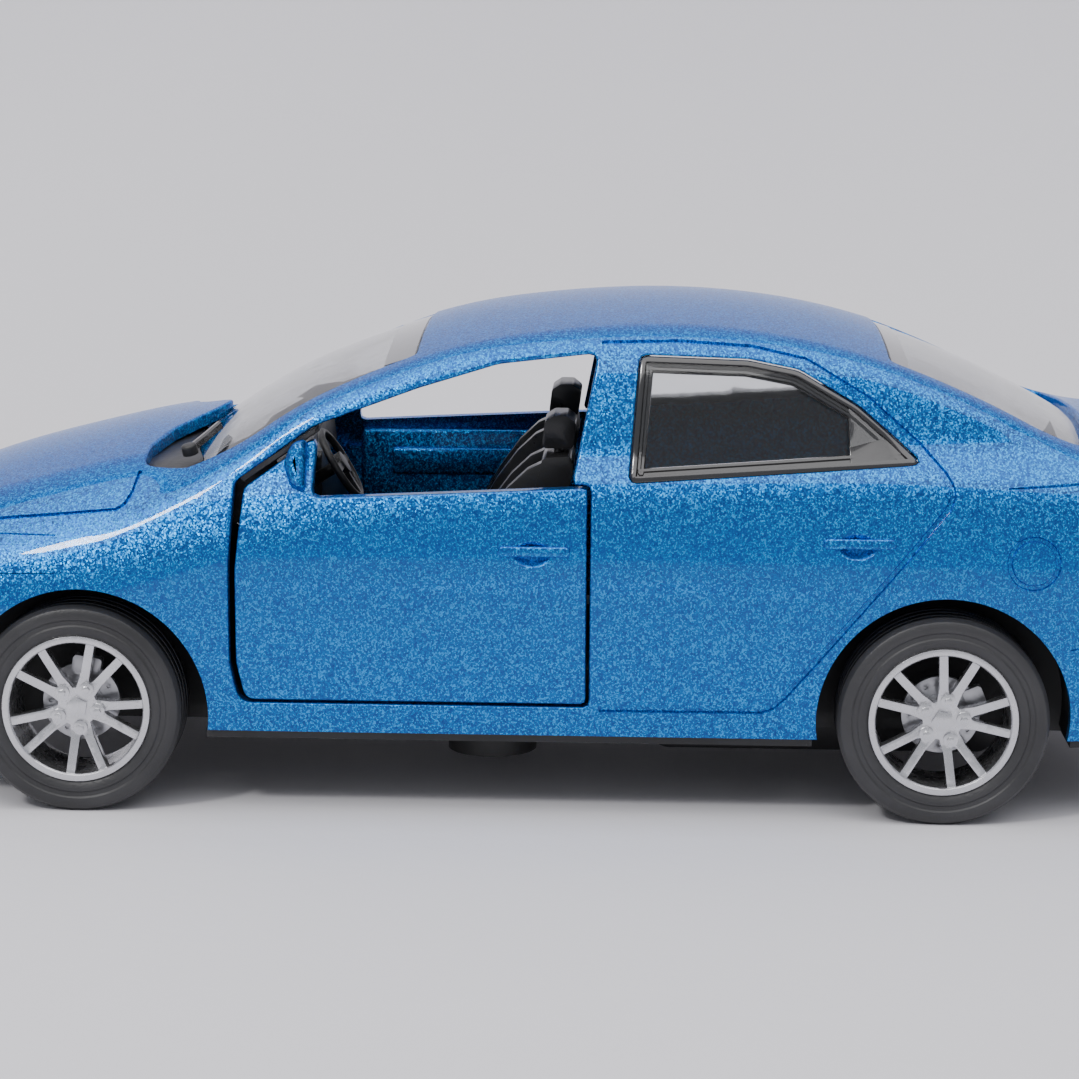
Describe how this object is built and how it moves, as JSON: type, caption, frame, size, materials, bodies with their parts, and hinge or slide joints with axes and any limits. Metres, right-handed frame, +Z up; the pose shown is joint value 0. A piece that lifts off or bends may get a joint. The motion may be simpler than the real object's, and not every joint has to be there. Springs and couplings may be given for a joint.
{
  "type": "pull back car",
  "caption": "Die-cast style four-door saloon pull back car with opening front doors, clear moulded glazing, black interior and a geared spring motor on the rear axle.",
  "frame": {"origin": "centre of the overall box in plan, on the floor plane under the tyres", "axes": "nose towards -X, tail +X; driver's side -Y; +Z up from the floor"},
  "size_m": [0.1416, 0.056, 0.0476],
  "materials": {
    "body_paint": "metallic blue flake under clear coat",
    "clear_plastic": "clear moulded plastic",
    "clear_lens": "clear moulded plastic",
    "red_lens": "transparent red plastic",
    "interior_black": "satin moulded black",
    "seat_black": "satin moulded black",
    "chassis_black": "fine-grained black",
    "plated_steel": "zinc plated",
    "spring_steel": "blued spring strip",
    "motor_case_black": "satin moulded black",
    "gear_white": "natural acetal",
    "tyre_rubber": "soft black vinyl",
    "rim_silver": "silver plated plastic",
    "disc_silver": "silver plated plastic"
  },
  "bodies": {
    "car": {"body_shell": "body_paint", "glazing": "clear_plastic", "cowl_panel": "interior_black", "dashboard": "interior_black", "steering_wheel": "interior_black", "interior_tub": "interior_black", "driver_seat": "seat_black", "passenger_seat": "seat_black", "chassis": "chassis_black", "chassis_screws": "plated_steel", "motor_screws": "plated_steel", "left_headlight": "clear_lens", "right_headlight": "clear_lens", "left_tail_light": "red_lens", "right_tail_light": "red_lens", "upper_grille": "interior_black", "lower_grille": "interior_black", "left_hinge_pin": "plated_steel", "right_hinge_pin": "plated_steel", "motor_case_left": "motor_case_black", "motor_case_right": "motor_case_black", "idler_pin": "plated_steel", "spring_pin": "plated_steel", "mainspring": "spring_steel"},
    "left_door_body": {"left_door": "body_paint"},
    "right_door_body": {"right_door": "body_paint"},
    "front_axle_set": {"front_axle": "plated_steel", "front_left_tyre": "tyre_rubber", "front_left_rim": "rim_silver", "front_left_brake_disc": "disc_silver", "front_right_tyre": "tyre_rubber", "front_right_rim": "rim_silver", "front_right_brake_disc": "disc_silver"},
    "rear_axle_set": {"rear_axle": "plated_steel", "axle_pinion": "gear_white", "rear_left_tyre": "tyre_rubber", "rear_left_rim": "rim_silver", "rear_left_brake_disc": "disc_silver", "rear_right_tyre": "tyre_rubber", "rear_right_rim": "rim_silver", "rear_right_brake_disc": "disc_silver"},
    "idler": {"idler_gear": "gear_white"},
    "spring": {"spring_gear": "gear_white"}
  },
  "joints": [
    {"name": "left_door_hinge", "type": "hinge", "parent": "car", "child": "left_door_body", "pos_m": [-0.0232, -0.0257, 0.022], "axis": [0, 0, -1], "range_deg": [0, 58]},
    {"name": "right_door_hinge", "type": "hinge", "parent": "car", "child": "right_door_body", "pos_m": [-0.0232, 0.0257, 0.022], "axis": [0, 0, 1], "range_deg": [0, 58]},
    {"name": "front_axle_spin", "type": "hinge", "parent": "car", "child": "front_axle_set", "pos_m": [-0.0433, 0, 0.0101], "axis": [0, 1, 0], "continuous": true},
    {"name": "rear_axle_spin", "type": "hinge", "parent": "car", "child": "rear_axle_set", "pos_m": [0.0395, 0, 0.0101], "axis": [0, 1, 0], "continuous": true},
    {"name": "idler_spin", "type": "hinge", "parent": "car", "child": "idler", "pos_m": [0.03085, 0, 0.01258], "axis": [0, 1, 0], "continuous": true},
    {"name": "spring_gear_spin", "type": "hinge", "parent": "car", "child": "spring", "pos_m": [0.02085, 0, 0.01258], "axis": [0, 1, 0], "continuous": true}
  ],
  "couplings": [
    {"joint": "idler_spin", "follows": "rear_axle_spin", "ratio": -0.5},
    {"joint": "spring_gear_spin", "follows": "rear_axle_spin", "ratio": 0.21429}
  ]
}
